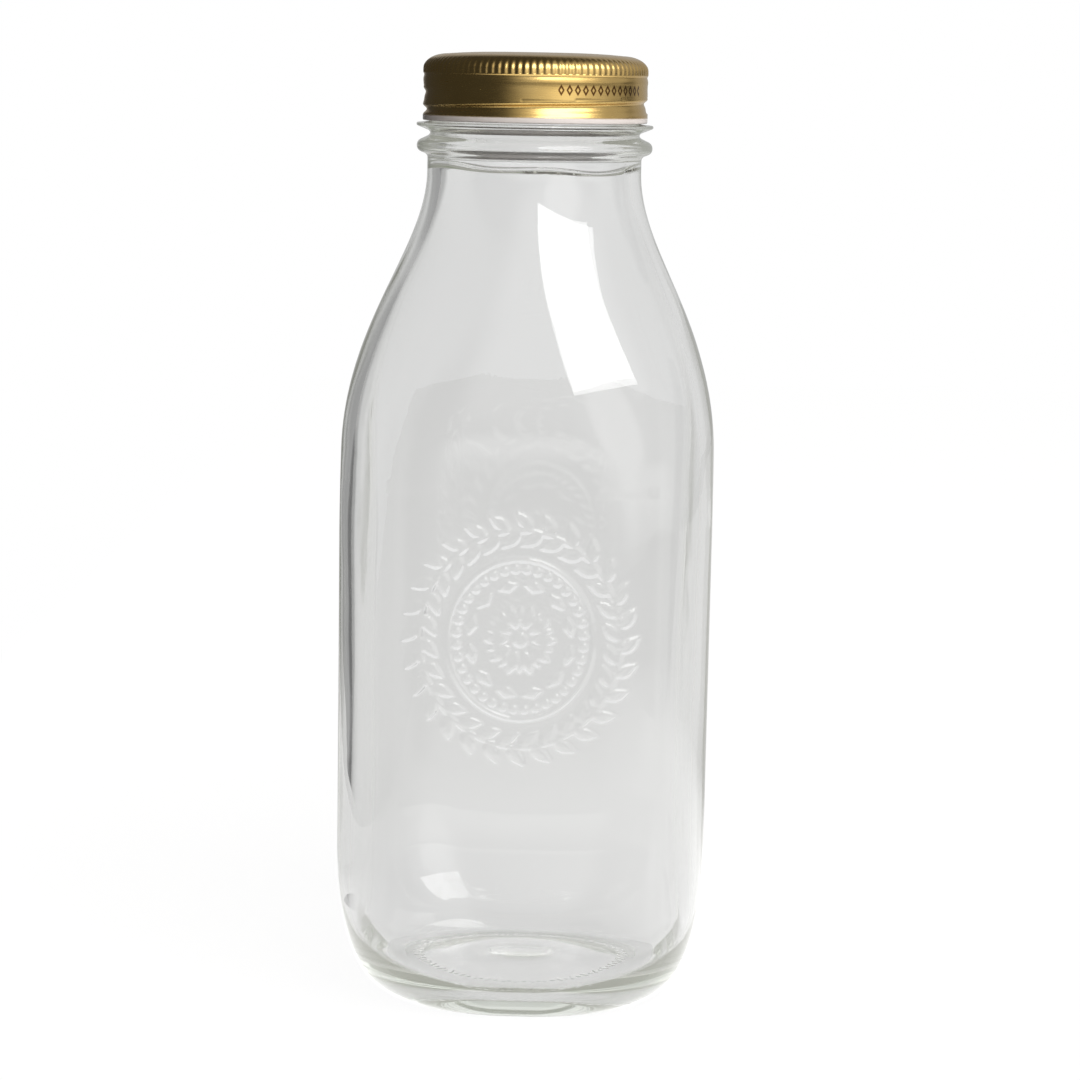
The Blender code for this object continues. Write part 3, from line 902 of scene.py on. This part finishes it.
def dress_glass(item, surface):
    """Presses the thread, the design and the base marks into the glass."""
    name_zone(item, "thread_wall", lambda places: (
        (np.linalg.norm(places[:, :2], axis=1) > FINISH_RADIUS - THREAD_WALL_CLEARANCE)
        * smooth_step((places[:, 2] - RING_Z) / THREAD_WALL_FADE - 1)
        * (1 - smooth_step((places[:, 2] - THREAD_HIGH) / THREAD_WALL_FADE))
    ))
    name_zone(item, "design_wall", lambda places: np.array([on_front(Vector(place)) for place in places]))
    name_zone(item, "base_wall", lambda places: np.array([on_base(Vector(place)) for place in places]))
    name_zone(item, "stippled", lambda places: 1 - smooth_step(places[:, 2] / STIPPLE_HEIGHT - 0.5))
    run_tree(item, THREAD_TREE, Zone="thread_wall", Depth=THREAD_DEPTH, Material=surface, **thread_sizes(0.5))
    design = make_design()
    run_tree(item, STAMP_TREE, Zone="design_wall", Marks=design, Height=ART_RELIEF, Edge=ART_EDGE,
             Across=(1, 0, 0), Up=(0, 0, 1), Material=surface)
    base_marks = make_base_marks()
    run_tree(item, STAMP_TREE, Zone="base_wall", Marks=base_marks, Height=BASE_RELIEF, Edge=ART_EDGE,
             Across=(1, 0, 0), Up=(0, 1, 0), Material=surface)
    bpy.data.objects.remove(design)
    bpy.data.objects.remove(base_marks)


# Materials


def new_material(name):
    """Starts a material and gives its tree, its shader and its object coordinates."""
    made = bpy.data.materials.new(name)
    made.use_nodes = True
    tree = made.node_tree
    return made, tree, tree.nodes["Principled BSDF"], add(tree, "ShaderNodeTexCoord").outputs["Object"]


def glass_material():
    """Moulded soda-lime glass: clear, faintly green where it is thick, with a soft unevenness from the mould.

    The ring that it stands on is finely stippled, so it scatters light and the base stays pale. Where light
    goes round and round inside the bead, the ring and the heel, a painted glow stands in for it: the glass
    emits a soft pale tone on rays past a few mirror bounces."""
    made, tree, shader, place = new_material("moulded_soda_lime_glass")
    stippled = add(tree, "ShaderNodeAttribute", attribute_name="stippled").outputs["Fac"]
    rough = add(tree, "ShaderNodeMath", {0: stippled, 1: STIPPLE_ROUGHNESS}, operation="MULTIPLY")
    # Painted glow: the glass emits a pale tone on rays that have bounced inside it more than a few times
    bounces = add(tree, "ShaderNodeLightPath").outputs["Glossy Depth"]
    caught = add(tree, "ShaderNodeMath", {0: bounces, 1: CAUGHT_BOUNCES}, operation="GREATER_THAN")
    glow = add(tree, "ShaderNodeMath", {0: caught, 1: PAINTED_CAUGHT_GLOW}, operation="MULTIPLY")
    fine = {"Vector": place, "Scale": 1 / SWELL_SIZE, "Detail": 1, "Roughness": 0.4}
    swell = add(tree, "ShaderNodeTexNoise", fine)
    feed(tree, shader, {
        "Base Color": linear("#FFFFFF"),
        "Roughness": rough,
        "IOR": REFRACTIVE_INDEX,
        "Transmission Weight": 1,
        "Emission Strength": glow,
        "Emission Color": linear("#EAEAE0"),
        "Normal": add(tree, "ShaderNodeBump", {"Strength": 0.35, "Distance": SWELL_HEIGHT, "Height": swell}),
    })
    tint = {"Color": linear("#C9D8B8"), "Density": GLASS_TINT_DENSITY}
    feed(tree, tree.nodes["Material Output"], {"Volume": add(tree, "ShaderNodeVolumeAbsorption", tint)})
    return made


def gold_material():
    """Gold lacquer over tinplate: a warm metal with fine rolling grain and a row of brown printed marks.

    The inside and the curled edge show the sheet's other face, which has an off-white enamel."""
    made, tree, shader, place = new_material("gold_lacquered_tinplate")
    enamel = add(tree, "ShaderNodeAttribute", attribute_name="enamelled").outputs["Fac"]
    scale = (1 / GRAIN_LENGTH, 1 / GRAIN_LENGTH, 1 / GRAIN_WIDTH)
    stretch = add(tree, "ShaderNodeMapping", {"Vector": place, "Scale": scale})
    grain = add(tree, "ShaderNodeTexNoise", {"Vector": stretch, "Scale": 1, "Detail": 3})
    cloud = add(tree, "ShaderNodeTexNoise", {"Vector": place, "Scale": 1 / CLOUD_SIZE, "Detail": 2})
    colour = linear("#C4A25E")
    for factor, over in ((cloud, "#D2B373"), (printed_marks(tree, place), "#5A3A17"), (enamel, "#E2D8D2")):
        layers = {"Factor": factor, 6: colour, 7: linear(over)}
        colour = add(tree, "ShaderNodeMix", layers, data_type="RGBA").outputs[2]
    dullness = {"Value": grain, "To Min": GRAIN_ROUGHNESSES[0], "To Max": GRAIN_ROUGHNESSES[1]}
    feed(tree, shader, {
        "Base Color": colour,
        "Metallic": add(tree, "ShaderNodeMath", {0: 1, 1: enamel}, operation="SUBTRACT"),
        "Roughness": add(tree, "ShaderNodeMapRange", dullness),
        "Coat Weight": 0.1,
        "Coat Roughness": 0.2,
        "Normal": add(tree, "ShaderNodeBump", {"Strength": 0.12, "Distance": GRAIN_HEIGHT, "Height": grain}),
    })
    return made


def printed_marks(tree, place):
    """A share that is 1 on the printed row of lozenges along one arc of the plain band."""
    turn, height = turn_and_height(tree, place)
    along = add(tree, "ShaderNodeMath", {0: turn, 1: CAP_BAND_RADIUS / PRINT_SPACING}, operation="MULTIPLY")
    wrapped = add(tree, "ShaderNodeMath", {0: along}, operation="FRACT")
    across = add(tree, "ShaderNodeMath", {0: wrapped, 1: 0.5}, operation="SUBTRACT")
    wide = add(tree, "ShaderNodeMath", {0: across}, operation="ABSOLUTE")
    above = add(tree, "ShaderNodeMath", {0: height, 1: PRINT_Z}, operation="SUBTRACT")
    rise = add(tree, "ShaderNodeMath", {0: above}, operation="ABSOLUTE")
    slope = PRINT_HALF_WIDTH_SHARE / PRINT_HALF_HEIGHT
    tall = add(tree, "ShaderNodeMath", {0: rise, 1: slope}, operation="MULTIPLY")
    reach = add(tree, "ShaderNodeMath", {0: wide, 1: tall}, operation="ADD")
    inside, hollow = (
        add(tree, "ShaderNodeMapRange", {"Value": reach, "From Min": start, "From Max": end})
        for start, end in (PRINT_OUTER_SHARES, PRINT_INNER_SHARES)
    )
    off_middle = add(tree, "ShaderNodeMath", {0: turn, 1: PRINT_MIDDLE}, operation="SUBTRACT")
    aside = add(tree, "ShaderNodeMath", {0: off_middle}, operation="ABSOLUTE")
    on_arc = add(tree, "ShaderNodeMath", {0: aside, 1: PRINT_HALF_ARC}, operation="LESS_THAN")
    ring = add(tree, "ShaderNodeMath", {0: inside, 1: hollow}, operation="MULTIPLY")
    return add(tree, "ShaderNodeMath", {0: ring, 1: on_arc}, operation="MULTIPLY")


def compound_material():
    """Sealing compound: a soft off-white rubber with a dull, slightly cloudy skin."""
    made, tree, shader, place = new_material("sealing_compound_rubber")
    fine = {"Vector": place, "Scale": 1 / COMPOUND_CLOUD_SIZE, "Detail": 3}
    cloud = add(tree, "ShaderNodeTexNoise", fine)
    tones = {"Factor": cloud, 6: linear("#DDD8CB"), 7: linear("#ECE8DE")}
    tone = add(tree, "ShaderNodeMix", tones, data_type="RGBA")
    feed(tree, shader, {"Base Color": tone.outputs[2], "Roughness": 0.6})
    return made


# Studio


def make_floor():
    """The pale table. The camera sees it as the white backdrop with a faint shadow of the bottle.

    Other rays see it dimmer towards the camera, which draws the dark lines of the neck and the heel. Rays
    that are only mirrored see a bright pool in front of the bottle, which lights the cap's lower edge."""
    data = bpy.data.meshes.new("floor")
    left, right, near, far = TABLE_EDGES
    data.from_pydata([(left, near, 0), (right, near, 0), (right, far, 0), (left, far, 0)], [], [range(4)])
    data.transform(Matrix.Translation((0, 0, -TABLE_DROP)))
    made, tree, shader, place = new_material("pale_table")
    data.materials.append(made)
    feed(tree, shader, {"Base Color": linear("#E4E3E0"), "Roughness": 0.6})
    rays = add(tree, "ShaderNodeLightPath").outputs
    off = add(tree, "ShaderNodeVectorMath", {0: place, 1: POOL_PLACE}, operation="DISTANCE")
    fade = {"Value": off.outputs["Value"], "From Min": POOL_EDGE, "From Max": POOL_CORE, "To Max": POOL_LEVEL}
    pool = add(tree, "ShaderNodeMapRange", fade, interpolation_type="SMOOTHSTEP")
    kinds = {0: rays["Is Glossy Ray"], 1: rays["Is Transmission Ray"]}
    mirrored = add(tree, "ShaderNodeMath", kinds, operation="SUBTRACT")
    pooled = add(tree, "ShaderNodeMath", {0: pool, 1: mirrored}, operation="MULTIPLY")
    along = add(tree, "ShaderNodeSeparateXYZ", {0: place}).outputs["Y"]
    dimming = {"Value": along, "From Min": FRONT_END, "From Max": FRONT_START}
    levels = {"To Min": FRONT_LEVEL, "To Max": TABLE_LEVEL}
    table = add(tree, "ShaderNodeMapRange", {**dimming, **levels}, interpolation_type="SMOOTHSTEP")
    seen = add(tree, "ShaderNodeMath", {0: pooled, 1: table}, operation="MAXIMUM")
    to_camera = rays["Is Camera Ray"]
    level = add(tree, "ShaderNodeMix", {"Factor": to_camera, 2: seen, 3: TABLE_CAMERA_LEVEL})
    glow = add(tree, "ShaderNodeEmission", {"Strength": level})
    share = add(tree, "ShaderNodeMix", {"Factor": to_camera, 2: TABLE_GLOW_SHARE, 3: TABLE_CAMERA_GLOW_SHARE})
    lit = add(tree, "ShaderNodeMath", {0: 1, 1: rays["Is Diffuse Ray"]}, operation="SUBTRACT")
    part = add(tree, "ShaderNodeMath", {0: share, 1: lit}, operation="MULTIPLY")
    mixed = add(tree, "ShaderNodeMixShader", {0: part, 1: shader, 2: glow})
    feed(tree, tree.nodes["Material Output"], {"Surface": mixed})
    return new_object("floor", data)


def lit_patch(tree, way, turn, rise, edge, core, level):
    """A soft round patch of the surroundings, at its turn and rise, fading from its edge to its core."""
    turn, rise, edge, core = (math.radians(value) for value in (turn, rise, edge, core))
    middle = (math.sin(turn) * math.cos(rise), math.cos(turn) * math.cos(rise), math.sin(rise))
    near = add(tree, "ShaderNodeVectorMath", {0: way, 1: middle}, operation="DOT_PRODUCT")
    fade = {"Value": near.outputs["Value"], "From Min": math.cos(edge), "From Max": math.cos(core)}
    return add(tree, "ShaderNodeMapRange", {**fade, "To Max": level}, interpolation_type="SMOOTHSTEP")


def brightest(tree, lowest, patches):
    """The brightest of some patches, and never less than the lowest level."""
    level = lowest
    for patch in patches:
        level = add(tree, "ShaderNodeMath", {0: level, 1: patch}, operation="MAXIMUM")
    return level


def make_world():
    """Studio surroundings round a camera view that is plain white.

    Mirrored rays see a dark room with a lit wall and the softbox's glow behind the camera, and the pale
    backdrop ahead. Rays through the glass that go ahead see the backdrop, paler low down, with a dark card
    on the left that draws the bottle's left edge. Rays that come back see the room, never quite dark."""
    world = bpy.data.worlds.new("studio")
    world.use_nodes = True
    bpy.context.scene.world = world
    tree = world.node_tree
    way = add(tree, "ShaderNodeTexCoord").outputs["Generated"]
    axes = add(tree, "ShaderNodeSeparateXYZ", {0: way})
    off = add(tree, "ShaderNodeMath", {0: axes.outputs["Z"]}, operation="ABSOLUTE")
    narrow = {"Value": off, "From Min": STRIP_RISES[0], "From Max": STRIP_RISES[1]}
    strip = add(tree, "ShaderNodeMapRange", {**narrow, "To Min": 1, "To Max": STRIP_END_SHARE})
    wall = add(tree, "ShaderNodeMath", {0: lit_patch(tree, way, *WALL_PATCH), 1: strip}, operation="MULTIPLY")
    glows = [lit_patch(tree, way, *patch) for patch in (*GLOW_PATCHES, BACKDROP_PATCH)]
    mirrored = brightest(tree, ROOM_LEVEL, [wall, *glows])
    paling = {"Value": axes.outputs["Z"], "From Min": BACKDROP_RISES[0], "From Max": BACKDROP_RISES[1]}
    levels = {"To Min": BACKDROP_LEVELS[0], "To Max": BACKDROP_LEVELS[1]}
    pale = add(tree, "ShaderNodeMapRange", {**paling, **levels})
    card = brightest(tree, 0, [lit_patch(tree, way, *patch) for patch in CARD_PATCHES])
    beside = add(tree, "ShaderNodeMath", {0: 1, 1: card}, operation="SUBTRACT")
    through = add(tree, "ShaderNodeMath", {0: pale, 1: beside}, operation="MULTIPLY")
    rays = add(tree, "ShaderNodeLightPath").outputs
    turned = {"Value": axes.outputs["Y"], "From Min": ROOM_START, "From Max": 0}
    ahead = add(tree, "ShaderNodeMapRange", turned)
    behind = add(tree, "ShaderNodeMath", {0: mirrored, 1: ROOM_BENT_LEVEL}, operation="MAXIMUM")
    bent = add(tree, "ShaderNodeMix", {"Factor": ahead, 2: behind, 3: through})
    level = add(tree, "ShaderNodeMix", {"Factor": rays["Is Transmission Ray"], 2: mirrored, 3: bent})
    strength = add(tree, "ShaderNodeMix", {"Factor": rays["Is Camera Ray"], 2: level, 3: 1})
    feed(tree, tree.nodes["Background"], {"Color": linear("#FFFFFF"), "Strength": strength})


def add_softbox():
    """The softbox: a soft rectangular lamp that shines at a point."""
    lamp = bpy.data.lights.new("softbox", "AREA")
    lamp.shape = "RECTANGLE"
    lamp.size, lamp.size_y = SOFTBOX_SIZE
    lamp.energy = SOFTBOX_POWER
    item = new_object("softbox", lamp)
    item.location = SOFTBOX_PLACE
    way = Vector(SOFTBOX_AIM) - Vector(SOFTBOX_PLACE)
    item.rotation_euler = way.to_track_quat("-Z", "Y").to_euler()


def make_camera():
    """The camera as fitted to the photograph, turned about the axis by the bottle's turn."""
    level = Vector((math.sin(CAMERA_PAN), math.cos(CAMERA_PAN), 0))
    forward = level * math.cos(CAMERA_PITCH) - Vector((0, 0, math.sin(CAMERA_PITCH)))
    right = Vector((math.cos(CAMERA_PAN), -math.sin(CAMERA_PAN), 0))
    up = right.cross(forward)
    rolled_right = right * math.cos(CAMERA_ROLL) + up * math.sin(CAMERA_ROLL)
    rolled_up = up * math.cos(CAMERA_ROLL) - right * math.sin(CAMERA_ROLL)
    place = Matrix((rolled_right, rolled_up, -forward)).transposed().to_4x4()
    place.translation = Vector(CAMERA_PLACE)
    data = bpy.data.cameras.new("camera")
    data.sensor_width = SENSOR_WIDTH
    data.lens = FOCAL_LENGTH_SHARE * SENSOR_WIDTH
    data.clip_end = CAMERA_REACH
    item = new_object("camera", data)
    item.matrix_world = Matrix.Rotation(-BOTTLE_TURN, 4, "Z") @ place
    bpy.context.scene.camera = item


THREAD_TREE = thread_tree()
FLUTE_TREE = flute_tree()
RING_TREE = ring_tree()
STAMP_TREE = stamp_tree()


def main():
    """Builds the glass and the cap, gives the sealing ring its material, and sets up the studio."""
    glass = make_glass()
    dress_glass(glass, glass_material())
    cap = make_cap(gold_material())
    for item in (glass, cap):
        item.data.shade_smooth()
    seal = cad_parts["sealing_ring"]
    seal.data.materials.clear()
    seal.data.materials.append(compound_material())
    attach(glass, "bottle")
    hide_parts("bottle_glass")
    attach(cap, "cap")
    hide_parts("cap_shell")
    make_floor()
    make_world()
    make_camera()
    add_softbox()
    bpy.context.scene.view_settings.view_transform = "Standard"


main()
